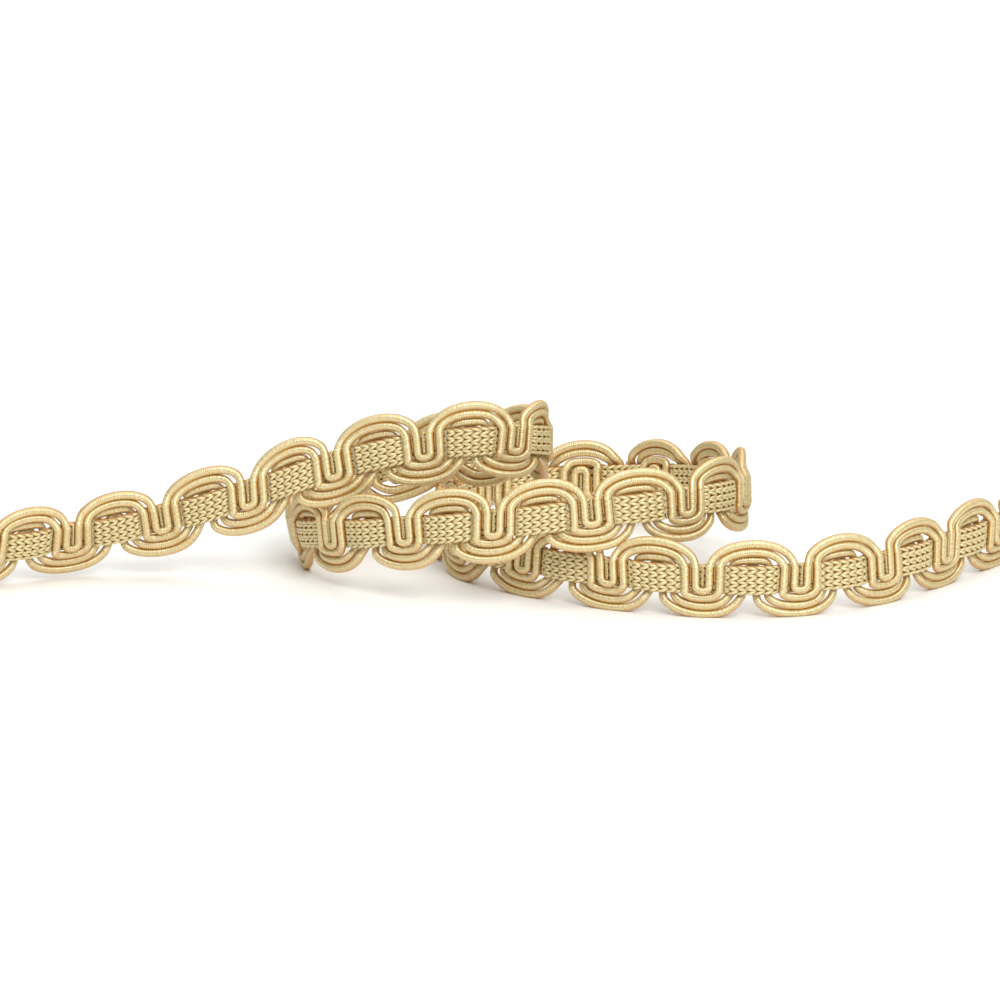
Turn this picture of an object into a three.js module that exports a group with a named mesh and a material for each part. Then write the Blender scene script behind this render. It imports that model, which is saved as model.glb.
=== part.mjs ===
// Gimp braid trim: a cut length that stands on its edge in a loose coil that rises as it turns.
// Four wrapped gimp cords run side by side in a winding line, and a flat chain-knitted band runs
// straight through the middle and holds them.
// Millimetres, +Z up. The coil stands on z = 0, its front towards -Y.

import * as THREE from 'three';

// The braid
const PITCH = 18.2; // one full wave of the cords
const HALF_PITCH = PITCH / 2;
const CORD = 1.15; // side of a gimp cord
const OUTER_LEVEL = 6.75; // from the braid's middle line to the outermost cord's middle
const LEVEL_STEP = 1.55; // from one cord to the next, where they lie side by side
const INNER_ARM = 1.15; // a narrow loop's half width, innermost cord
const OUTER_ARM = 3.07; // the same, second cord
const WIDE_SPRING = 2.5; // height at which the wide arches start
const ARM_DEPTH = 0.95; // how far the upright stretches stand off the middle plane
const DEPTH_FADE_FROM = 2.6; // this far from the middle line the cords start to come together
const DEPTH_FADE_TO = 4.1;

// The knitted band
const BAND_HALF_WIDTH = 2.65;
const BAND_THICKNESS = 0.8;
const BAND_EDGE_THICKNESS = 0.5;
const BAND_DEPTH = 0.5; // it weaves this far to either side of the middle plane
const BAND_CROWN = 0.2; // extra bulge where it shows as a pad
const BAND_CROSS_FROM = 3.7; // it changes sides between these two places, from a narrow loop's middle
const BAND_CROSS_TO = 5.4;

// The coil
const PRESS = 0.1; // how far the lowest cord is pressed flat where it stands
const MIDDLE_HEIGHT = OUTER_LEVEL + CORD / 2 - PRESS; // middle line above the surface, lift 0
const RISE_SHEAR = 0.35; // 1 keeps the braid square to its own line where it climbs, 0 keeps it upright
const START = 0.45; // first and last place along the braid, counted in waves
const END = 32.45;
const BOX_MIDDLE_X = -2.89; // middle of the coil's box, in the route's numbers
const BOX_MIDDLE_Y = 38.65;

// Where the middle line runs, one row for each chosen place.
// at: place along the braid in waves, x and y: plan, lift: height of the braid's lower edge,
// lean: degrees that the top edge tips outwards
const ROUTE = [
  // right tail, on the surface, coming forwards
  { at: 0, x: 101, y: 56.5, lift: 0, lean: 3 },
  { at: 1, x: 93, y: 40.5, lift: 0, lean: 3 },
  { at: 2, x: 83, y: 25, lift: 0, lean: 1 },
  { at: 3, x: 71.5, y: 11, lift: 0, lean: -1 },
  { at: 4, x: 56, y: 1.5, lift: 0, lean: -2 },
  { at: 5, x: 38, y: 0.5, lift: 0, lean: -2 },
  { at: 6, x: 20.5, y: 6.5, lift: 0, lean: -2 },
  { at: 7, x: 5, y: 17, lift: 0, lean: -2 },
  { at: 8, x: -7.5, y: 31, lift: 0, lean: -1 },
  // first turn, at the back
  { at: 9, x: -11.5, y: 50, lift: 0, lean: 0 },
  { at: 10, x: -7.5, y: 67, lift: 0, lean: 0 },
  { at: 10.5, x: -2, y: 73.5, lift: 0, lean: 0 },
  { at: 11, x: 6.5, y: 77, lift: 0.3, lean: -1 },
  { at: 11.5, x: 15.5, y: 76.5, lift: 1, lean: -1 },
  { at: 12, x: 23.5, y: 73, lift: 2, lean: -1 },
  { at: 13, x: 35.5, y: 59.5, lift: 5.2, lean: -1 },
  { at: 14, x: 43.5, y: 43, lift: 8.4, lean: -2 },
  // second turn, at the right
  { at: 14.5, x: 45.5, y: 34, lift: 9.8, lean: -2 },
  { at: 15, x: 45, y: 25, lift: 11, lean: -3 },
  { at: 15.5, x: 41, y: 17, lift: 12, lean: -3 },
  { at: 16, x: 34.5, y: 11, lift: 12.3, lean: -3 },
  // across the front, over the first strand
  { at: 17, x: 17, y: 5.5, lift: 11.6, lean: -3 },
  { at: 18, x: -1, y: 6, lift: 9.3, lean: -2 },
  { at: 19, x: -17.5, y: 12, lift: 6.5, lean: 0 },
  { at: 20, x: -31, y: 23.5, lift: 3.2, lean: 4 },
  // third turn, at the left, down on the surface again
  { at: 20.5, x: -35.5, y: 31, lift: 1.6, lean: 9 },
  { at: 21, x: -38, y: 39.5, lift: 0, lean: 13 },
  { at: 21.5, x: -38, y: 48.5, lift: 0.7, lean: 9 },
  { at: 22, x: -34, y: 55.5, lift: 2.7, lean: 4 },
  { at: 22.5, x: -26.5, y: 58, lift: 5.8, lean: 0 },
  { at: 23, x: -18.5, y: 55.5, lift: 9.6, lean: 0 },
  { at: 24, x: -3, y: 47.5, lift: 14.1, lean: -1 },
  // fourth turn, the top of the coil
  { at: 24.5, x: 4, y: 42, lift: 16.1, lean: -1 },
  { at: 25, x: 8, y: 34.5, lift: 18.2, lean: 0 },
  { at: 25.5, x: 7.5, y: 26, lift: 20.7, lean: 0 },
  { at: 26, x: 2.5, y: 19, lift: 22.5, lean: 0 },
  { at: 26.5, x: -5.5, y: 16, lift: 22.9, lean: 0 },
  { at: 27, x: -14, y: 17.5, lift: 21.6, lean: -1 },
  // left tail, coming down to the surface
  { at: 28, x: -31, y: 23.7, lift: 16.3, lean: -1 },
  { at: 29, x: -47, y: 28, lift: 9.8, lean: 3 },
  { at: 30, x: -63.5, y: 31.5, lift: 4.2, lean: 10 },
  { at: 31, x: -80.5, y: 30, lift: 1.1, lean: 15 },
  { at: 32, x: -96.5, y: 22.5, lift: 0.2, lean: 11 },
  { at: 33, x: -110, y: 11, lift: 0, lean: 4 },
];

const ROUTE_COLUMNS = ['x', 'y', 'lift', 'lean'];

// Slope of one column at row i: the slopes on both sides, weighted by the other side's length.
function routeSlope(column, i) {
  const before = ROUTE[Math.max(i - 1, 0)];
  const here = ROUTE[i];
  const after = ROUTE[Math.min(i + 1, ROUTE.length - 1)];
  const gapBefore = here.at - before.at;
  const gapAfter = after.at - here.at;
  if (gapBefore === 0) return (after[column] - here[column]) / gapAfter;
  if (gapAfter === 0) return (here[column] - before[column]) / gapBefore;
  const slopeBefore = (here[column] - before[column]) / gapBefore;
  const slopeAfter = (after[column] - here[column]) / gapAfter;
  return (slopeBefore * gapAfter + slopeAfter * gapBefore) / (gapBefore + gapAfter);
}

// The route's columns at a place along the braid, on smooth cubic pieces through the rows.
function routeAt(at) {
  let i = ROUTE.findIndex((row) => row.at > at) - 1;
  if (i < 0) i = ROUTE.length - 2;
  const from = ROUTE[i];
  const to = ROUTE[i + 1];
  const gap = to.at - from.at;
  const t = (at - from.at) / gap;
  const row = {};
  for (const column of ROUTE_COLUMNS) {
    const rise = to[column] - from[column];
    const slopeFrom = routeSlope(column, i) * gap;
    const slopeTo = routeSlope(column, i + 1) * gap;
    const bend = 3 * rise - 2 * slopeFrom - slopeTo;
    const twist = slopeFrom + slopeTo - 2 * rise;
    row[column] = from[column] + t * (slopeFrom + t * (bend + t * twist));
  }
  return row;
}

function middleLine(at) {
  const row = routeAt(at);
  return new THREE.Vector3(row.x - BOX_MIDDLE_X, row.y - BOX_MIDDLE_Y, row.lift + MIDDLE_HEIGHT);
}

// A point of the braid: along it, across it (upwards) and out of it, in millimetres.
function braidPoint(along, across, out) {
  const at = along / PITCH;
  const step = 0.02;
  const centre = middleLine(at);
  const forward = middleLine(at + step).sub(middleLine(at - step)).normalize();
  const upright = new THREE.Vector3(0, 0, 1).addScaledVector(forward, -RISE_SHEAR * forward.z).normalize();
  const outward = new THREE.Vector3().crossVectors(upright, forward).normalize();
  const lean = THREE.MathUtils.degToRad(routeAt(at).lean);
  const widthWay = upright.clone().multiplyScalar(Math.cos(lean)).addScaledVector(outward, Math.sin(lean));
  const outWay = outward.clone().multiplyScalar(Math.cos(lean)).addScaledVector(upright, -Math.sin(lean));
  const point = centre.addScaledVector(widthWay, across).addScaledVector(outWay, out);
  point.z = Math.max(point.z, 0);
  return point;
}

// A closed bar with the given corner rings, each a list of points, and flat ends.
function barGeometry(rings) {
  const sides = rings[0].length;
  const positions = rings.flat().flatMap((p) => [p.x, p.y, p.z]);
  const faces = [];
  for (let r = 0; r + 1 < rings.length; r++) {
    for (let k = 0; k < sides; k++) {
      const a = r * sides + k;
      const b = r * sides + (k + 1) % sides;
      faces.push(a, b, b + sides, a, b + sides, a + sides);
    }
  }
  const last = (rings.length - 1) * sides;
  for (let k = 1; k + 1 < sides; k++) {
    faces.push(0, k + 1, k);
    faces.push(last, last + k, last + k + 1);
  }
  const geometry = new THREE.BufferGeometry();
  geometry.setAttribute('position', new THREE.Float32BufferAttribute(positions, 3));
  geometry.setIndex(faces);
  return geometry;
}

// One wave of a cord as offsets from its narrow loop's middle: down one arm's round bottom,
// up the arm and over the wide arch. Angles run round each half oval in equal steps.
const CORD_SHAPES = {
  outer: { arm: INNER_ARM, wideLevel: OUTER_LEVEL, narrowLevel: OUTER_LEVEL - 3 * LEVEL_STEP,
    narrowSpring: 1.0, narrowSteps: 3, wideSteps: 7, square: 2 },
  inner: { arm: OUTER_ARM, wideLevel: OUTER_LEVEL - LEVEL_STEP, narrowLevel: OUTER_LEVEL - 2 * LEVEL_STEP,
    narrowSpring: 1.9, narrowSteps: 4, wideSteps: 6, square: 2.4 },
};

// Half an oval from its left end over the top to its right end, squarer for a power above 2.
// Its highest points lie at the full height, so an odd number of steps gives it a level top.
function halfOval(halfWidth, height, steps, power) {
  const highest = Math.sin(Math.PI * Math.ceil(steps / 2) / steps) ** (2 / power);
  const points = [];
  for (let i = 0; i <= steps; i++) {
    const angle = Math.PI * (1 - i / steps);
    const c = Math.cos(angle);
    const s = Math.max(Math.sin(angle), 0);
    points.push([halfWidth * Math.sign(c) * Math.abs(c) ** (2 / power), height * s ** (2 / power) / highest]);
  }
  return points;
}

// The winding line of a cord over the whole braid, as [along, across] pairs.
// A flipped cord is the same line turned upside down and moved by half a wave.
function windingLine(shape, flipped) {
  const line = [];
  const turn = flipped ? -1 : 1;
  const shift = flipped ? HALF_PITCH : 0;
  const wideHeight = shape.wideLevel - WIDE_SPRING;
  const narrowHeight = shape.narrowLevel - shape.narrowSpring;
  const narrow = halfOval(shape.arm, narrowHeight, shape.narrowSteps, shape.square);
  const wide = halfOval(HALF_PITCH - shape.arm, wideHeight, shape.wideSteps, 2);
  for (let wave = Math.floor(START) - 1; wave <= Math.ceil(END); wave++) {
    for (const [x, y] of narrow) {
      line.push([wave * PITCH + shift + x, turn * (-shape.narrowSpring - y)]);
    }
    for (const [x, y] of wide) {
      line.push([(wave + 0.5) * PITCH + shift + x, turn * (WIDE_SPRING + y)]);
    }
  }
  return cutToLength(line);
}

// Keeps the stretch between the braid's two cut ends and ends it exactly there.
function cutToLength(line) {
  const from = START * PITCH;
  const to = END * PITCH;
  const first = line.findLastIndex(([along]) => along < from);
  const last = line.findIndex(([along]) => along > to);
  const cut = (a, b, place) => {
    const t = (place - a[0]) / (b[0] - a[0]);
    return [place, a[1] + t * (b[1] - a[1])];
  };
  const kept = line.slice(first + 1, last);
  return [cut(line[first], line[first + 1], from), ...kept, cut(line[last - 1], line[last], to)];
}

// Distance of a cord from the braid's middle plane: full in the arms, none in the wide arches.
function armDepth(across) {
  const fade = THREE.MathUtils.smoothstep(Math.abs(across), DEPTH_FADE_FROM, DEPTH_FADE_TO);
  return ARM_DEPTH * (1 - fade);
}

// Unit direction from one [along, across] pair to the next.
function heading(a, b) {
  const size = Math.hypot(b[0] - a[0], b[1] - a[1]);
  return [(b[0] - a[0]) / size, (b[1] - a[1]) / size];
}

// A gimp cord: a square bar that follows the winding line, its corners mitred at each bend.
function gimpCord(shape, flipped) {
  const line = windingLine(shape, flipped);
  const side = flipped ? -1 : 1;
  const rings = line.map((place, i) => {
    const before = heading(line[Math.max(i - 1, 0)], line[Math.max(i, 1)]);
    const after = heading(line[Math.min(i, line.length - 2)], line[Math.min(i + 1, line.length - 1)]);
    const sum = [before[0] + after[0], before[1] + after[1]];
    const miter = 2 / Math.max(sum[0] ** 2 + sum[1] ** 2, 1);
    const across = [-sum[1] * miter * CORD / 2, sum[0] * miter * CORD / 2];
    const depth = side * armDepth(place[1]);
    const corner = (a, d) => braidPoint(
      place[0] + a * across[0], place[1] + a * across[1], depth + d * CORD / 2);
    return [corner(-1, -1), corner(-1, 1), corner(1, 1), corner(1, -1)];
  });
  return barGeometry(rings);
}

// The knitted band: flat with thinner edges, behind the first two cords' arms and in front of the others.
function knitBand() {
  const wave = [
    [0, -BAND_DEPTH], [BAND_CROSS_FROM, -BAND_DEPTH], [BAND_CROSS_TO, BAND_DEPTH],
    [HALF_PITCH, BAND_DEPTH + BAND_CROWN], [PITCH - BAND_CROSS_TO, BAND_DEPTH],
    [PITCH - BAND_CROSS_FROM, -BAND_DEPTH],
  ];
  const places = [];
  for (let i = Math.floor(START) - 1; i <= Math.ceil(END); i++) {
    for (const [along, depth] of wave) {
      places.push([i * PITCH + along, depth]);
    }
  }
  const rings = cutToLength(places).map(([along, depth]) => {
    const corner = (across, out) => braidPoint(along, across, depth + out);
    return [
      corner(-BAND_HALF_WIDTH, -BAND_EDGE_THICKNESS / 2), corner(-BAND_HALF_WIDTH, BAND_EDGE_THICKNESS / 2),
      corner(0, BAND_THICKNESS / 2), corner(BAND_HALF_WIDTH, BAND_EDGE_THICKNESS / 2),
      corner(BAND_HALF_WIDTH, -BAND_EDGE_THICKNESS / 2), corner(0, -BAND_THICKNESS / 2),
    ];
  });
  return barGeometry(rings);
}

// Materials
const satinWrap = { color: 0xdcc592, roughness: 0.42, metalness: 0 };
const knitYarn = { color: 0xe4d4ac, roughness: 0.7, metalness: 0 };

function piece(name, geometry, look) {
  const mesh = new THREE.Mesh(geometry, new THREE.MeshStandardMaterial(look));
  mesh.name = name;
  return mesh;
}

const braid = new THREE.Group();
braid.add(
  piece('gimp_cord_1', gimpCord(CORD_SHAPES.outer, false), satinWrap),
  piece('gimp_cord_2', gimpCord(CORD_SHAPES.inner, false), satinWrap),
  piece('gimp_cord_3', gimpCord(CORD_SHAPES.inner, true), satinWrap),
  piece('gimp_cord_4', gimpCord(CORD_SHAPES.outer, true), satinWrap),
  piece('knit_band', knitBand(), knitYarn),
);

export default braid;
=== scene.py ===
"""Looks of a gimp braid trim: four satin-wrapped cords and a chain-knitted band.

The braid stands on edge in a loose rising coil, on z = 0 and with its front towards -Y.
Lengths are metres and +Z is up, the same frame as the solids.
"""

import math

import bpy
import numpy as np
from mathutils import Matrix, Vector


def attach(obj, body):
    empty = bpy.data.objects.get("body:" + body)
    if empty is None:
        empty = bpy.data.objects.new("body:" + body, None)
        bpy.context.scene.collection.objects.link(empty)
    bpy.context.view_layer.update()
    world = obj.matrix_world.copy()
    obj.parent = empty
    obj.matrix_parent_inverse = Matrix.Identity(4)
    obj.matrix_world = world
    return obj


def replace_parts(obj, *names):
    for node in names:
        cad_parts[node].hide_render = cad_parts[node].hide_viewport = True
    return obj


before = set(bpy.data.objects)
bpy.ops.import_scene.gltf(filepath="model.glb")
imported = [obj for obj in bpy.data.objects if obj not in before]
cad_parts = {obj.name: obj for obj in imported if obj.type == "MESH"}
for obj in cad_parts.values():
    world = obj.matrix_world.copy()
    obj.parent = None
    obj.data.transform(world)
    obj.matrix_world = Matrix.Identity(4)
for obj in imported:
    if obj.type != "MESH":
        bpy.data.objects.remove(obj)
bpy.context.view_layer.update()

MM = 0.001

# The braid's sizes, as in the part's source.
PITCH = 18.2 * MM                 # one full wave of the cords
HALF_PITCH = PITCH / 2
ARM_DEPTH = 0.95 * MM             # how far the upright stretches stand off the middle plane
BAND_HALF_WIDTH = 2.65 * MM
BAND_DEPTH = 0.5 * MM             # how far the band weaves to either side of the middle plane
BAND_CROSS = (3.7 * MM, 5.4 * MM)     # it changes sides between these distances from a narrow loop
MIDDLE_HEIGHT = 7.225 * MM        # of the middle line, where the braid stands on the surface
RISE_SHEAR = 0.35                 # how much the width way turns with the braid where it climbs
START, END = 0.45, 32.45          # first and last place along the braid, in waves
BOX_MIDDLE = np.array([-2.89 * MM, 38.65 * MM])   # middle of the coil's box, in the route's x and y

# Sizes of the braid that only this model has.
DEPTH_FADE = (2.3 * MM, 4.6 * MM)     # levels between which the cords come back to the middle plane
BAND_CROWN = 0.35 * MM            # how much farther the band stands out at half a wave
LEAN_SWING = 0.07                 # how far the loops lean along the braid, as a share of their height
LEAN_TURN = 2.3                   # how quickly that lean changes, in radians for each wave
LEAN_START = 1.0                  # the angle of that change where the route starts, in radians
WAY_STEP = 0.02                   # the braid's direction is taken over this much to both sides, in waves

# One row for each chosen place: place in waves, x, y and lift in metres, lean in degrees.
ROUTE = np.array([
    (0, .101, .0565, 0, 3), (1, .093, .0405, 0, 3), (2, .083, .025, 0, 1), (3, .0715, .011, 0, -1),
    (4, .056, .0015, 0, -2), (5, .038, .0005, 0, -2), (6, .0205, .0065, 0, -2), (7, .005, .017, 0, -2),
    (8, -.0075, .031, 0, -1), (9, -.0115, .050, 0, 0), (10, -.0075, .067, 0, 0), (10.5, -.002, .0735, 0, 0),
    (11, .0065, .077, .0003, -1), (11.5, .0155, .0765, .001, -1), (12, .0235, .073, .002, -1),
    (13, .0355, .0595, .0052, -1), (14, .0435, .043, .0084, -2), (14.5, .0455, .034, .0098, -2),
    (15, .045, .025, .011, -3), (15.5, .041, .017, .012, -3), (16, .0345, .011, .0123, -3),
    (17, .017, .0055, .0116, -3), (18, -.001, .006, .0093, -2), (19, -.0175, .012, .0065, 0),
    (20, -.031, .0235, .0032, 4), (20.5, -.0355, .031, .0016, 9), (21, -.038, .0395, 0, 13),
    (21.5, -.038, .0485, .0007, 9), (22, -.034, .0555, .0027, 4), (22.5, -.0265, .058, .0058, 0),
    (23, -.0185, .0555, .0096, 0), (24, -.003, .0475, .0141, -1), (24.5, .004, .042, .0161, -1),
    (25, .008, .0345, .0182, 0), (25.5, .0075, .026, .0207, 0), (26, .0025, .019, .0225, 0),
    (26.5, -.0055, .016, .0229, 0), (27, -.014, .0175, .0216, -1), (28, -.031, .0237, .0163, -1),
    (29, -.047, .028, .0098, 3), (30, -.0635, .0315, .0042, 10), (31, -.0805, .030, .0011, 15),
    (32, -.0965, .0225, .0002, 11), (33, -.110, .011, 0, 4),
])

# A cord's way: half the width of its narrow loop, then for the narrow loop and the wide arch the level
# of their tops, the level where their half oval begins, its squareness, where 2 is an ellipse, and its
# swing, by which its flanks are pushed along the braid.
OUTER_WAY = {
    "arm": 1.24 * MM,
    "narrow_level": 2.1 * MM, "narrow_start": 1.0 * MM, "narrow_square": 2.5, "narrow_swing": 0,
    "wide_level": 6.75 * MM, "wide_start": 1.8 * MM, "wide_square": 2.05, "wide_swing": 0,
}
INNER_WAY = {
    "arm": 3.22 * MM,
    "narrow_level": 3.55 * MM, "narrow_start": 2.0 * MM, "narrow_square": 2.5,
    "narrow_swing": 0.25 * MM,
    "wide_level": 5.2 * MM, "wide_start": 2.1 * MM, "wide_square": 2.05, "wide_swing": 0.2 * MM,
}
LOWER_INNER_WAY = {
    **INNER_WAY,
    "arm": 3.42 * MM, "narrow_square": 2.8, "narrow_swing": 0.35 * MM,
    "wide_start": 2.2 * MM, "wide_square": 2.1, "wide_swing": 0.5 * MM,
}
LOWER_OUTER_WAY = {
    **OUTER_WAY,
    "wide_start": 2.1 * MM, "wide_square": 2.15, "wide_swing": 0.5 * MM,
}
LINE_STEP = 0.1 * MM
OVAL_POINTS = 160

# The wrapped cords.
CORD_RADIUS = 0.80 * MM           # a cord in the wide arches
ARM_HALF_WIDTH = 0.77 * MM        # the same cord, pressed flatter where it crosses the band
ARM_HALF_DEPTH = 0.68 * MM
ROUND_LEVELS = (3.4 * MM, 4.6 * MM)   # levels between which the pressed cord gets round again
WRAP_PITCH = 0.42 * MM            # from one wrap thread to the next
WRAP_RELIEF = 0.035 * MM
RINGS_PER_WRAP = 4
CORD_SIDES = 10
CORD_TIP = 0.2 * MM               # how far the middle of a cut end stands out
FLOOR_GAP = 0.02 * MM             # nothing lies lower than this
PAINTED_SHADE_RANGE = (-0.1, 0.65)        # how much a surface faces down where its painted underside shade begins and is full

# The knitted band. A leg is one half of a stitch.
WALES = 4                         # chains side by side in the band
WALE_WIDTH = 2 * BAND_HALF_WIDTH / WALES
STITCH = 1.65 * MM                # one stitch along the band
FIRST_GAP, LAST_GAP = 0.1, 1.25   # from the cut ends to the first and last stitch's start, in stitches
LEG_REACH = 1.34                  # a leg's length along the band, in stitches
LEG_SPREAD = (0.04, 0.48)         # from the chain's middle to a leg's two ends, in wale widths
LEG_RADIUS = 0.36 * MM
LEG_FLATNESS = 0.8                # a leg's depth as a share of its width
LEG_BLUNTNESS = 0.06              # the share of the half sine that is left off at each end of a leg
LEG_POWER = 0.8                   # below 1, a leg keeps its thickness for longer
LEG_LIFT = 0.05 * MM              # from the band's middle to a leg's ends
LEG_BOW = 0.3 * MM                # how far a leg's middle bows out
PAD_CROWN = 0.3 * MM              # how far the band's face swells in the middle of its width
LEG_RINGS = 7
LEG_SIDES = 6
LEG_TIP = 0.1 * MM                # how far a leg's tips sink in
GROUND_THICKNESS = 0.32 * MM
GROUND_MARGIN = 0.12 * MM         # how far the ground shows beside the stitches
GROUND_FLAT = 0.9                 # the share of the ground's width that has its full thickness
GROUND_STEP = 0.5 * MM

# The sewing threads.
TIE_TWIST = 1.3 * MM              # length of one full twist of a pair of threads
TIE_RINGS = 4                     # rings for each twist
TIE_SIDES = 4
GRAIN_STEP = 9                    # from one tube's grain to the next, so that no two are the same


def smoothstep(value, low, high):
    """0 below low, 1 above high, 3t^2 - 2t^3 between them."""
    t = np.clip((value - low) / (high - low), 0, 1)
    return t * t * (3 - 2 * t)


def route_slopes():
    """Slope of every column at every row: the slopes on both sides, each weighted by the length of
    the other side."""
    gaps = np.diff(ROUTE[:, 0])[:, None]
    slopes = np.diff(ROUTE[:, 1:], axis=0) / gaps
    inner = (slopes[:-1] * gaps[1:] + slopes[1:] * gaps[:-1]) / (gaps[:-1] + gaps[1:])
    return np.vstack([slopes[:1], inner, slopes[-1:]])


SLOPES = route_slopes()


def route_at(at):
    """x, y, lift and lean at places along the braid, on smooth cubic pieces through the rows."""
    row = np.clip(np.searchsorted(ROUTE[:, 0], at, side="right") - 1, 0, len(ROUTE) - 2)
    gap = (ROUTE[row + 1, 0] - ROUTE[row, 0])[..., None]
    t = (at - ROUTE[row, 0])[..., None] / gap
    start, rise = ROUTE[row, 1:], ROUTE[row + 1, 1:] - ROUTE[row, 1:]
    slope_from, slope_to = SLOPES[row] * gap, SLOPES[row + 1] * gap
    bend = 3 * rise - 2 * slope_from - slope_to
    twist = slope_from + slope_to - 2 * rise
    return start + t * (slope_from + t * (bend + t * twist))


def middle_line(at):
    """The braid's middle line: the route, moved so that the coil's box is centred, with the lift counted
    from the middle height."""
    x, y, lift, _ = np.moveaxis(route_at(at), -1, 0)
    return np.stack([x - BOX_MIDDLE[0], y - BOX_MIDDLE[1], lift + MIDDLE_HEIGHT], -1)


def unit(vectors):
    """The same directions, with length 1."""
    return vectors / np.linalg.norm(vectors, axis=-1, keepdims=True)


def braid_ways(at):
    """Two unit directions at places along the braid: its width way, mostly up, and the way out of its
    front face. The width way is the vertical, sheared a little where the braid climbs and tipped
    outwards by the lean."""
    forward = unit(middle_line(at + WAY_STEP) - middle_line(at - WAY_STEP))
    upright = unit(np.array([0, 0, 1.0]) - RISE_SHEAR * forward[..., 2:] * forward)
    outward = unit(np.cross(upright, forward))
    lean = np.radians(route_at(at)[..., 3:])
    width_way = np.cos(lean) * upright + np.sin(lean) * outward
    out_way = np.cos(lean) * outward - np.sin(lean) * upright
    return width_way, out_way


def braid_point(along, across, out):
    """Point = middle line at along + across x width way + out x out way, kept above the surface.
    The loops lean: along is first moved by swing x across x sin(turn x waves + start)."""
    along = along + LEAN_SWING * across * np.sin(LEAN_TURN * along / PITCH + LEAN_START)
    at = along / PITCH
    width_way, out_way = braid_ways(at)
    point = middle_line(at) + across[..., None] * width_way + out[..., None] * out_way
    point[..., 2] = np.maximum(point[..., 2], FLOOR_GAP)
    return point


def mesh_piece(name, points, faces, uv, material, painted_shades=None):
    """A smooth-shaded mesh on body root. faces holds rows of four corners, one of them -1 for a triangle;
    uv gives one pair for each corner of each face, in the same order; the last holds painted shade, one
    number a point."""
    corners = (faces >= 0).sum(axis=1)
    flat = faces.ravel()
    keep = flat >= 0
    starts = np.concatenate([[0], np.cumsum(corners)[:-1]])
    mesh = bpy.data.meshes.new(name)
    mesh.vertices.add(len(points))
    mesh.vertices.foreach_set("co", points.astype(np.float32).ravel())
    mesh.loops.add(int(keep.sum()))
    mesh.loops.foreach_set("vertex_index", flat[keep].astype(np.int32))
    mesh.polygons.add(len(faces))
    mesh.polygons.foreach_set("loop_start", starts.astype(np.int32))
    layer = mesh.uv_layers.new(name="thread_way")
    layer.data.foreach_set("uv", uv.reshape(-1, 2)[keep].astype(np.float32).ravel())
    mesh.update(calc_edges=True)
    mesh.polygons.foreach_set("use_smooth", np.ones(len(faces), bool))
    if painted_shades is not None:
        attribute = mesh.attributes.new("painted_shade", "FLOAT", "POINT")
        attribute.data.foreach_set("value", painted_shades.astype(np.float32))
    mesh.materials.append(material)
    mesh.validate()
    piece = bpy.data.objects.new(name, mesh)
    bpy.context.scene.collection.objects.link(piece)
    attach(piece, "root")
    return piece


def closed_tube(rings, sides, mirrored=False):
    """Faces of a tube with a tip at each end, and the (ring, side) place of every corner of them.
    Points are numbered ring x sides + side, and after those come the first tip and the last tip.
    Mirrored turns the faces round, for rings whose points run the other way."""
    grids = np.meshgrid(np.arange(rings - 1), np.arange(sides), indexing="ij")
    ring, side = (grid.ravel() for grid in grids)
    walls = np.stack([np.stack([ring, ring, ring + 1, ring + 1], -1),
                      np.stack([side, side + 1, side + 1, side], -1)], -1)
    side = np.arange(sides)
    first, last = np.zeros_like(side), np.full_like(side, rings - 1)
    first_cap = np.stack([np.stack([first, first, first - 1, first - 1], -1),
                          np.stack([side + 1, side, side, side], -1)], -1)
    last_cap = np.stack([np.stack([last, last, last + 1, last + 1], -1),
                         np.stack([side, side + 1, side, side], -1)], -1)
    places = np.concatenate([walls, first_cap, last_cap])
    faces = places[..., 0] * sides + places[..., 1] % sides
    faces[places[..., 0] < 0] = rings * sides
    faces[places[..., 0] == rings] = rings * sides + 1
    faces[len(walls):, 3] = -1
    if mirrored:
        turned = [1, 0, 3, 2]
        return faces[:, turned], places[:, turned]
    return faces, places


def many_tubes(count, rings, sides, mirrored=False):
    """Faces and thread_way pairs of equal tubes whose points follow each other: u goes once round a tube,
    and v counts its rings, from a number of its own for each tube."""
    faces, places = closed_tube(rings, sides, mirrored)
    tube = np.arange(count)[:, None, None]
    all_faces = np.where(faces < 0, -1, faces + tube * (rings * sides + 2))
    uv = places[..., ::-1] / [sides, 1] + tube[..., None] * [0, GRAIN_STEP]
    return all_faces.reshape(-1, 4), uv.reshape(-1, 4, 2)


def circle_angles(sides):
    """The angle of each point of a ring with so many sides."""
    return np.arange(sides) * 2 * np.pi / sides


def half_oval(half_width, height, square, swing):
    """Half an oval from its left end over the top to its right end: |x/a|^p + |y/b|^p = 1, with x then
    moved by swing x sin(pi y/b), so that its two ends and its top stay."""
    angle = np.linspace(np.pi, 0, OVAL_POINTS)
    cosine, sine = np.cos(angle), np.clip(np.sin(angle), 0, None)
    up = sine ** (2 / square)
    x = half_width * np.sign(cosine) * np.abs(cosine) ** (2 / square) + swing * np.sin(np.pi * up)
    return np.stack([x, height * up], -1)


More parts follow.
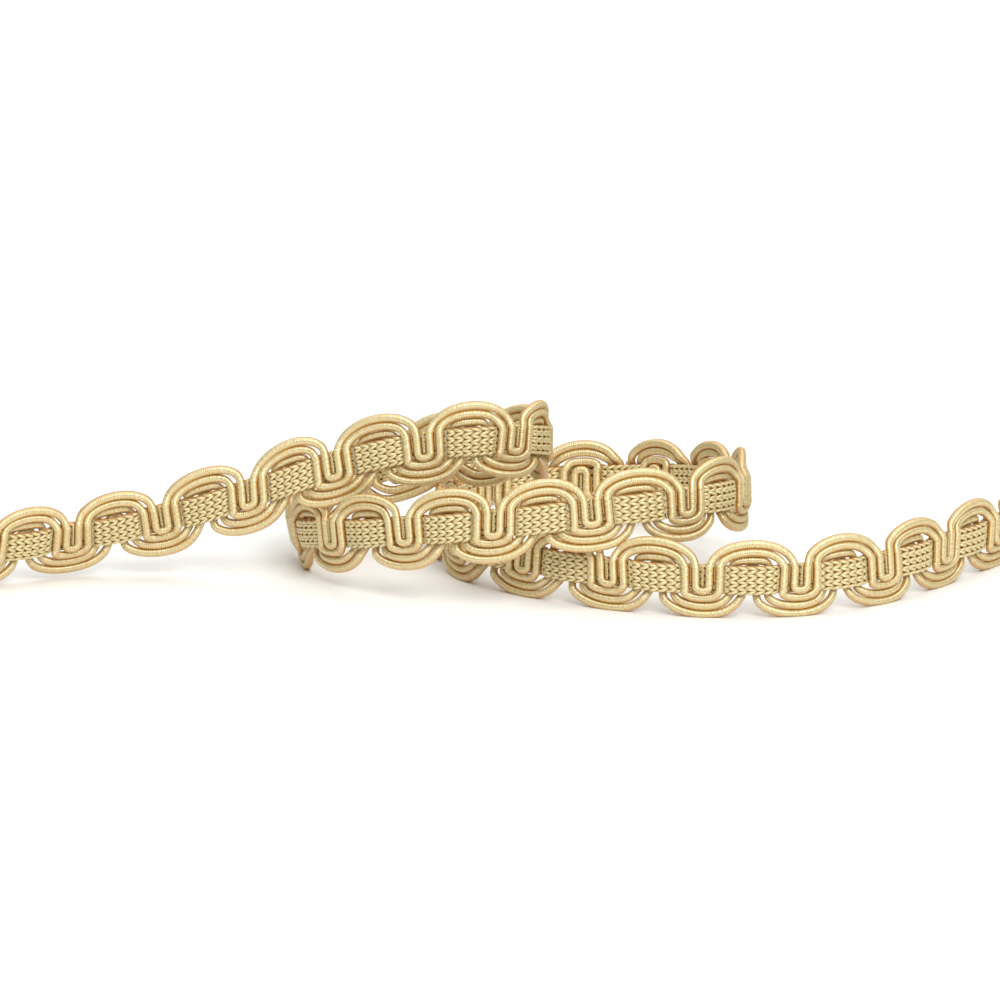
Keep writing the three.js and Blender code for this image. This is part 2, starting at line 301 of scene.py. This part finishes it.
def winding_line(flipped, arm, narrow_level, narrow_start, narrow_square, narrow_swing,
                 wide_level, wide_start, wide_square, wide_swing):
    """A cord's way as (along, across) pairs: a narrow half oval below, straight arms and a wide half oval
    above, wave after wave. A flipped cord is the same line turned upside down and moved by half a wave."""
    narrow = half_oval(arm, narrow_level - narrow_start, narrow_square, narrow_swing)
    narrow = narrow * [1, -1] - [0, narrow_start]
    wide = half_oval(HALF_PITCH - arm, wide_level - wide_start, wide_square, wide_swing)
    wide = wide + [HALF_PITCH, wide_start]
    wave = np.concatenate([narrow, wide])
    starts = np.arange(math.floor(START) - 1, math.ceil(END) + 1) * PITCH
    line = (wave[None] + np.stack([starts, 0 * starts], -1)[:, None]).reshape(-1, 2)
    if flipped:
        line = line * [1, -1] + [HALF_PITCH, 0]
    return line


def length_along(points):
    """Length of the line through the points, up to each of them."""
    return np.concatenate([[0], np.cumsum(np.linalg.norm(np.diff(points, axis=0), axis=-1))])


def even_steps(line, step):
    """The same line with points the given length apart, measured along it."""
    length = length_along(line)
    places = np.arange(0, length[-1], step)
    return np.stack([np.interp(places, length, column) for column in line.T], -1)


def gimp_cord(name, way, flipped, material):
    """A wrapped cord: an oval profile carried along the winding line, rippled by the helix of its wrap:
    radius = R + relief x (|sin((2 pi x length / wrap pitch + angle) / 2)| - 1/2).
    A point attribute holds painted shade: 0 where the surface faces up and 1 on its undersides."""
    line = even_steps(winding_line(flipped, **way), LINE_STEP)
    line = line[(line[:, 0] >= START * PITCH) & (line[:, 0] <= END * PITCH)]
    front = -1 if flipped else 1
    depth = front * ARM_DEPTH * (1 - smoothstep(np.abs(line[:, 1]), *DEPTH_FADE))
    path = np.column_stack([line, depth])
    length = length_along(braid_point(*path.T))
    ring_step = WRAP_PITCH / RINGS_PER_WRAP
    places = np.arange(0, length[-1], ring_step)
    along, across, depth = (np.interp(places, length, column) for column in path.T)
    middle = braid_point(along, across, depth)
    forward = unit(np.gradient(middle, axis=0))
    out_way = braid_ways(along / PITCH)[1]
    out_way = unit(out_way - (out_way * forward).sum(-1, keepdims=True) * forward)
    side_way = np.cross(forward, out_way)

    angle = circle_angles(CORD_SIDES)
    roundness = smoothstep(np.abs(across), *ROUND_LEVELS)[:, None]
    helix = 2 * np.pi * places[:, None] / WRAP_PITCH + angle
    ripple = WRAP_RELIEF * (np.abs(np.sin(helix / 2)) - 0.5)
    deep = (ARM_HALF_DEPTH + (CORD_RADIUS - ARM_HALF_DEPTH) * roundness + ripple) * np.cos(angle)
    wide = (ARM_HALF_WIDTH + (CORD_RADIUS - ARM_HALF_WIDTH) * roundness + ripple) * np.sin(angle)
    rings = middle[:, None] + deep[..., None] * out_way[:, None] + wide[..., None] * side_way[:, None]
    rings[..., 2] = np.maximum(rings[..., 2], FLOOR_GAP)
    tips = middle[[0, -1]] + CORD_TIP * forward[[0, -1]] * [[-1], [1]]
    points = np.concatenate([rings.reshape(-1, 3), tips])

    faces, corners = closed_tube(len(places), CORD_SIDES)
    uv = corners * [ring_step / MM, 1 / CORD_SIDES]
    facing_up = np.cos(angle) * out_way[:, 2:] + np.sin(angle) * side_way[:, 2:]
    # Painted shade on the undersides, which light from above would leave darker.
    painted_shade = np.append(smoothstep(-facing_up, *PAINTED_SHADE_RANGE), [0, 0])
    return mesh_piece(name, points, faces, uv, material, painted_shade)


def band_depth(along):
    """How far out the band's middle lies: behind the narrow loops of cords 1 and 2, in front at half
    a wave, with a smooth step between them and a low crown at half a wave."""
    from_loop = np.abs((along + HALF_PITCH) % PITCH - HALF_PITCH)
    weave = BAND_DEPTH * (2 * smoothstep(from_loop, *BAND_CROSS) - 1)
    return weave + BAND_CROWN * smoothstep(from_loop, BAND_CROSS[1], HALF_PITCH)


def knit_wale(name, wale, material):
    """One chain of the band, front and back: every stitch is two legs that spread from a point.
    A leg is a spindle. Its middle goes from the first spread to the second over the reach, bowed outwards
    by a half sine and lifted by crown x (1 - (across / half width)^2), and its radius is a half sine
    raised to a power, with a bit left off at each end so that the tips are blunt."""
    starts = np.arange(START * PITCH + FIRST_GAP * STITCH, END * PITCH - LAST_GAP * STITCH, STITCH)
    grids = np.meshgrid([1, -1], [1, -1], starts, indexing="ij")
    face, leg, start = (grid.ravel()[:, None] for grid in grids)
    t = np.linspace(0, 1, LEG_RINGS)
    reach = LEG_REACH * STITCH
    spread_from, spread_to = (share * WALE_WIDTH for share in LEG_SPREAD)
    along = start + reach * t
    spread = spread_from + (spread_to - spread_from) * t
    across = (wale + 0.5) * WALE_WIDTH - BAND_HALF_WIDTH + leg * spread
    crown = PAD_CROWN * (1 - (across / BAND_HALF_WIDTH) ** 2)
    out = band_depth(along) + face * (LEG_LIFT + crown + LEG_BOW * np.sin(np.pi * t))

    angle = circle_angles(LEG_SIDES)
    radius = LEG_RADIUS * np.sin(np.pi * (LEG_BLUNTNESS + (1 - 2 * LEG_BLUNTNESS) * t)) ** LEG_POWER
    wide = radius[:, None] * np.cos(angle)
    deep = radius[:, None] * np.sin(angle) * LEG_FLATNESS
    slope = math.atan2(spread_to - spread_from, reach)
    ring_along = along[..., None] - np.sin(slope) * leg[..., None] * wide
    ring_across = across[..., None] + np.cos(slope) * wide
    rings = braid_point(ring_along, ring_across, out[..., None] + deep)
    ends = [0, -1]
    tips = braid_point(along[:, ends], across[:, ends], out[:, ends] - face * LEG_TIP)
    count = len(start)
    points = np.concatenate([rings.reshape(count, -1, 3), tips], 1).reshape(-1, 3)
    faces, uv = many_tubes(count, LEG_RINGS, LEG_SIDES, mirrored=True)
    return mesh_piece(name, points, faces, uv, material)


def band_ground(name, material):
    """The ground under the stitches: a flat six-sided profile carried along the band's middle."""
    along = np.arange(START * PITCH + GROUND_STEP, END * PITCH - GROUND_STEP, GROUND_STEP)
    profile = np.array([(-1, 0), (-GROUND_FLAT, -1), (GROUND_FLAT, -1),
                        (1, 0), (GROUND_FLAT, 1), (-GROUND_FLAT, 1)])
    profile = profile * [BAND_HALF_WIDTH + GROUND_MARGIN, GROUND_THICKNESS / 2]
    ring_along = np.repeat(along[:, None], len(profile), 1)
    ring_across = np.repeat(profile[None, :, 0], len(along), 0)
    rings = braid_point(ring_along, ring_across, band_depth(ring_along) + profile[:, 1])
    ends = along[[0, -1]]
    tips = braid_point(ends, np.zeros(2), band_depth(ends))
    points = np.concatenate([rings.reshape(-1, 3), tips])
    faces, uv = many_tubes(1, len(along), len(profile), mirrored=True)
    return mesh_piece(name, points, faces, uv, material)


def tie_threads(name, offset, low, high, depth, swing, radius, material):
    """Pairs of thin threads twisted round each other at every narrow loop, on both faces of the braid, at
    an offset to both sides of its middle. A thread's middle = groove + swing x (cos, sin) of the angle
    2 pi x height / twist, and half a turn further for its partner; its section is round."""
    height = np.linspace(low, high, round((high - low) / TIE_TWIST * TIE_RINGS))
    loops = np.arange(math.ceil(START), math.floor(END)) * PITCH
    sides = [1, -1] if offset else [1]
    grids = np.meshgrid([1, -1], sides, [0, np.pi], loops, indexing="ij")
    face, side, half_turn, loop = (grid.ravel()[:, None] for grid in grids)
    turn = 2 * np.pi * height / TIE_TWIST + half_turn
    along = loop + (face < 0) * HALF_PITCH + side * offset + swing * np.cos(turn)
    across = face * height
    out = face * (depth + swing * np.sin(turn))

    angle = circle_angles(TIE_SIDES)
    ring_along = along[..., None] + radius * np.cos(angle)
    ring_out = out[..., None] + radius * np.sin(angle) * face[..., None]
    rings = braid_point(ring_along, across[..., None] * np.ones(TIE_SIDES), ring_out)
    count = len(loop)
    ends = [0, -1]
    tips = braid_point(along[:, ends], across[:, ends], out[:, ends])
    points = np.concatenate([rings.reshape(count, -1, 3), tips], 1).reshape(-1, 3)
    faces, uv = many_tubes(count, len(height), TIE_SIDES)
    return mesh_piece(name, points, faces, uv, material)


# The finishes. Colours are linear, and the last number of each is its opacity.
SATIN_DARK = (0.65, 0.475, 0.10, 1)
SATIN_LIGHT = (0.78, 0.705, 0.425, 1)
SATIN_PAINTED_SHADE = (0.60, 0.28, 0.025, 1)   # painted shade: between the wraps, at a cord's sides next to its neighbours and on its undersides
YARN_PAINTED_SHADE = (0.50, 0.22, 0.04, 1)     # painted shade at the sides of a leg or thread, next to its neighbours
UNDERSIDE_SHADE_SHARE = 0.7             # how much of the painted shade colour the undersides get
UNEVENNESS = 1.1                  # height of the wrap's unevenness against that of its ridges
TONE_STOPS = (0.3, 0.7)           # parts of the noise at which the dark and the light tone are full
MIX_FIRST, MIX_SECOND, MIX_RESULT = 6, 7, 2   # numbers of a mix node's sockets for colours


def finish_tree(name):
    """A new material, its node tree, and the shader in it."""
    material = bpy.data.materials.new(name)
    material.use_nodes = True
    tree = material.node_tree
    shader = tree.nodes["Principled BSDF"]
    return material, tree, shader


def node(tree, kind, inputs=None, **settings):
    """A node with the given settings. inputs maps a socket's name or number to a value or a socket."""
    made = tree.nodes.new(kind)
    for key, value in settings.items():
        setattr(made, key, value)
    for key, value in (inputs or {}).items():
        if isinstance(value, bpy.types.NodeSocket):
            tree.links.new(value, made.inputs[key])
        else:
            made.inputs[key].default_value = value
    return made


def math_node(tree, operation, *values):
    """The result of an operation on one or two values or sockets."""
    return node(tree, "ShaderNodeMath", dict(enumerate(values)), operation=operation).outputs[0]


def side_share(tree, wave, way_round):
    """|wave(2 pi x way round)|: 0 on a thread's front and back and 1 on its two sides, the mask of painted
    side shade.
    """
    turn = math_node(tree, "MULTIPLY", way_round, 2 * math.pi)
    return math_node(tree, "ABSOLUTE", math_node(tree, wave, turn))


def fade(tree, value, low, high, start, end):
    """start where the value is low, end where it is high, and a smooth step between them."""
    inputs = {"Value": value, "From Min": low, "From Max": high, "To Min": start, "To Max": end}
    return node(tree, "ShaderNodeMapRange", inputs, interpolation_type="SMOOTHSTEP").outputs[0]


def two_tones(tree, share, dark, light):
    """The dark colour where the share is low and the light one where it is high."""
    ramp = node(tree, "ShaderNodeValToRGB", {0: share})
    for stop, position, tone in zip(ramp.color_ramp.elements, TONE_STOPS, (dark, light)):
        stop.position = position
        stop.color = tone
    return ramp.outputs[0]


def mixed_colour(tree, share, first, second):
    """The first colour where the share is 0 and the second where it is 1."""
    inputs = {"Factor": share, MIX_FIRST: first, MIX_SECOND: second}
    return node(tree, "ShaderNodeMix", inputs, data_type="RGBA").outputs[MIX_RESULT]


def satin_wrap_finish():
    """Rayon thread wound round the cords: colour and height follow the helix of the wrap. Painted shade
    darkens the grooves between the wraps, the cord's sides and its undersides.
    """
    material, tree, shader = finish_tree("satin wrap")
    uv = node(tree, "ShaderNodeUVMap", uv_map="thread_way").outputs[0]
    parts = node(tree, "ShaderNodeSeparateXYZ", {0: uv})
    millimetres, way_round = parts.outputs[0], parts.outputs[1]
    turns = math_node(tree, "DIVIDE", millimetres, WRAP_PITCH / MM)
    turns = math_node(tree, "ADD", turns, way_round)

    tone = node(tree, "ShaderNodeTexNoise", {"W": turns, "Scale": 0.9, "Detail": 2.0},
                noise_dimensions="1D")
    colour = two_tones(tree, tone.outputs[0], SATIN_DARK, SATIN_LIGHT)
    half_turns = math_node(tree, "MULTIPLY", turns, math.pi)
    ridge = math_node(tree, "ABSOLUTE", math_node(tree, "SINE", half_turns))
    # Painted shade in the grooves between the wrap threads.
    groove = fade(tree, ridge, low=0.0, high=0.55, start=0.4, end=0.0)
    # Painted shade on a cord's two sides, where it lies against its neighbours.
    sides = fade(tree, side_share(tree, "SINE", way_round), low=0.7, high=1.0, start=0.0, end=0.9)
    # Painted shade on the undersides, read from the point attribute.
    painted_shade = node(tree, "ShaderNodeAttribute", attribute_name="painted_shade").outputs["Fac"]
    underside_shade = math_node(tree, "MULTIPLY", painted_shade, UNDERSIDE_SHADE_SHARE)
    depth = math_node(tree, "MAXIMUM", groove, sides)
    depth = math_node(tree, "MAXIMUM", depth, underside_shade)

    noise = node(tree, "ShaderNodeTexNoise", {"W": turns, "Scale": 1.3, "Detail": 3.0},
                 noise_dimensions="1D")
    unevenness = math_node(tree, "MULTIPLY", noise.outputs[0], UNEVENNESS)
    height = math_node(tree, "ADD", ridge, unevenness)
    bump = node(tree, "ShaderNodeBump", {"Strength": 0.8, "Distance": 0.05 * MM, "Height": height})
    tangent = node(tree, "ShaderNodeTangent", direction_type="UV_MAP", uv_map="thread_way")
    tree.links.new(mixed_colour(tree, depth, colour, SATIN_PAINTED_SHADE), shader.inputs["Base Color"])
    tree.links.new(bump.outputs[0], shader.inputs["Normal"])
    tree.links.new(tangent.outputs[0], shader.inputs["Tangent"])
    shader.inputs["Roughness"].default_value = 0.37
    shader.inputs["IOR"].default_value = 2.0
    shader.inputs["Anisotropic"].default_value = 0.8
    shader.inputs["Metallic"].default_value = 0.22
    shader.inputs["Specular IOR Level"].default_value = 1.0
    return material


def knit_yarn_finish(name, dark, light):
    """Soft lustrous yarn with fine lines along each leg, and painted shade at the sides of each leg or
    thread.
    """
    material, tree, shader = finish_tree(name)
    uv = node(tree, "ShaderNodeUVMap", uv_map="thread_way").outputs[0]
    grain = node(tree, "ShaderNodeMapping", {"Vector": uv, "Scale": (14.0, 0.6, 1.0)})
    lines = node(tree, "ShaderNodeTexNoise",
                 {"Vector": grain.outputs[0], "Scale": 1.0, "Detail": 2.0})
    colour = two_tones(tree, lines.outputs[0], dark, light)
    bump = node(tree, "ShaderNodeBump",
                {"Strength": 0.3, "Distance": 0.03 * MM, "Height": lines.outputs[0]})
    parts = node(tree, "ShaderNodeSeparateXYZ", {0: uv})
    # Painted shade at the sides of each leg or thread, where it lies against its neighbours.
    share = side_share(tree, "COSINE", parts.outputs[0])
    depth = fade(tree, share, low=0.7, high=1.0, start=0.0, end=0.8)
    tree.links.new(mixed_colour(tree, depth, colour, YARN_PAINTED_SHADE), shader.inputs["Base Color"])
    tree.links.new(bump.outputs[0], shader.inputs["Normal"])
    shader.inputs["Metallic"].default_value = 0.15
    shader.inputs["Roughness"].default_value = 0.36
    shader.inputs["IOR"].default_value = 1.7
    shader.inputs["Specular IOR Level"].default_value = 0.7
    return material


# The camera: its height over the horizon, the width that the picture shows, and where it aims.
ELEVATION = math.radians(13.5)
FRAME_WIDTH = 187.5 * MM
LENS = 1500                       # in millimetres
SENSOR = 36                       # in millimetres
NEAREST, FARTHEST = 0.1, 100      # what lies between these distances is shown
AIM_DEPTH = 25 * MM               # the route's y where the picture's scale is exact
AIM_UP = 21.94 * MM               # height in the picture's plane of its centre

# The studio.
FLOOR_HALF = 4.0                  # half the floor's side
FLOOR_WHITE = (0.88, 0.88, 0.855, 1)
SURROUND_WHITE = (1, 1, 1, 1)
SURROUND_STRENGTH = 0.17


def camera():
    """A long lens in front and a little above, so far away that there is almost no perspective."""
    aim_z = (AIM_UP - AIM_DEPTH * math.sin(ELEVATION)) / math.cos(ELEVATION)
    aim = np.array([-BOX_MIDDLE[0], AIM_DEPTH - BOX_MIDDLE[1], aim_z])
    back = np.array([0, -math.cos(ELEVATION), math.sin(ELEVATION)])
    data = bpy.data.cameras.new("camera")
    data.lens = LENS
    data.sensor_width = SENSOR
    data.clip_start = NEAREST
    data.clip_end = FARTHEST
    made = bpy.data.objects.new("camera", data)
    made.location = aim + back * FRAME_WIDTH * LENS / SENSOR
    made.rotation_euler = (math.pi / 2 - ELEVATION, 0, 0)
    bpy.context.scene.collection.objects.link(made)
    bpy.context.scene.camera = made


def area_light(name, place, aim, size, power):
    """A soft light of the given width and depth that faces the point it aims at."""
    data = bpy.data.lights.new(name, "AREA")
    data.shape = "RECTANGLE"
    data.size, data.size_y = size
    data.energy = power
    made = bpy.data.objects.new(name, data)
    made.location = place
    way = Vector(aim) - Vector(place)
    made.rotation_euler = way.to_track_quat("-Z", "Y").to_euler()
    bpy.context.scene.collection.objects.link(made)


def studio():
    """White floor, faint white surroundings and large soft lights above and in front."""
    mesh = bpy.data.meshes.new("floor")
    corners = [(-FLOOR_HALF, -FLOOR_HALF, 0), (FLOOR_HALF, -FLOOR_HALF, 0),
               (FLOOR_HALF, FLOOR_HALF, 0), (-FLOOR_HALF, FLOOR_HALF, 0)]
    mesh.from_pydata(corners, [], [(0, 1, 2, 3)])
    floor = bpy.data.objects.new("floor", mesh)
    bpy.context.scene.collection.objects.link(floor)
    material, _, shader = finish_tree("white floor")
    shader.inputs["Base Color"].default_value = FLOOR_WHITE
    shader.inputs["Roughness"].default_value = 0.9
    shader.inputs["Specular IOR Level"].default_value = 0.1
    mesh.materials.append(material)
    world = bpy.data.worlds.new("studio white")
    world.use_nodes = True
    background = world.node_tree.nodes["Background"]
    background.inputs["Color"].default_value = SURROUND_WHITE
    background.inputs["Strength"].default_value = SURROUND_STRENGTH
    bpy.context.scene.world = world
    area_light("top light", place=(0.0, 0.5, 2.1), aim=(0, 0.5, 0), size=(3.0, 3.4), power=60)
    area_light("front light", place=(0.5, -1.6, 1.45), aim=(0, 0, 0.01), size=(1.3, 1.2), power=37)
    bpy.context.scene.view_settings.view_transform = "Standard"


camera()
studio()
satin = satin_wrap_finish()
yarn = knit_yarn_finish("knit yarn", dark=(0.62, 0.50, 0.205, 1), light=(0.80, 0.71, 0.405, 1))
# The ground's dark brown is painted shade: it stands in for the shade in the holes between the stitches.
ground = knit_yarn_finish("knit ground", dark=(0.42, 0.17, 0.03, 1), light=(0.50, 0.24, 0.05, 1))
# The tie threads' brown is painted shade: they lie in the shaded seams between the arms.
seam_shade_brown = knit_yarn_finish("tie thread", dark=(0.55, 0.30, 0.08, 1), light=(0.72, 0.48, 0.18, 1))
pale = knit_yarn_finish("pale thread", dark=(0.80, 0.74, 0.48, 1), light=(0.88, 0.84, 0.60, 1))

cords = [(OUTER_WAY, False), (INNER_WAY, False), (LOWER_INNER_WAY, True), (LOWER_OUTER_WAY, True)]
for number, (way, flipped) in enumerate(cords, 1):
    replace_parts(gimp_cord(f"wrapped_cord_{number}", way, flipped, satin), f"gimp_cord_{number}")
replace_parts(band_ground("band_ground", ground), "knit_band")
for wale in range(WALES):
    knit_wale(f"knit_wale_{wale + 1}", wale, yarn)
tie_threads("mouth_threads", offset=0, low=-1.2 * MM, high=3.1 * MM, depth=1.2 * MM,
            swing=0.2 * MM, radius=0.15 * MM, material=yarn)
# The groove threads are brown as painted shade of the seam between the arms.
tie_threads("groove_threads", offset=2.23 * MM, low=-0.6 * MM, high=3.1 * MM, depth=0.85 * MM,
            swing=0.08 * MM, radius=0.10 * MM, material=seam_shade_brown)
tie_threads("edge_threads", offset=4.25 * MM, low=-2.5 * MM, high=2.5 * MM, depth=0.5 * MM,
            swing=0.11 * MM, radius=0.07 * MM, material=pale)
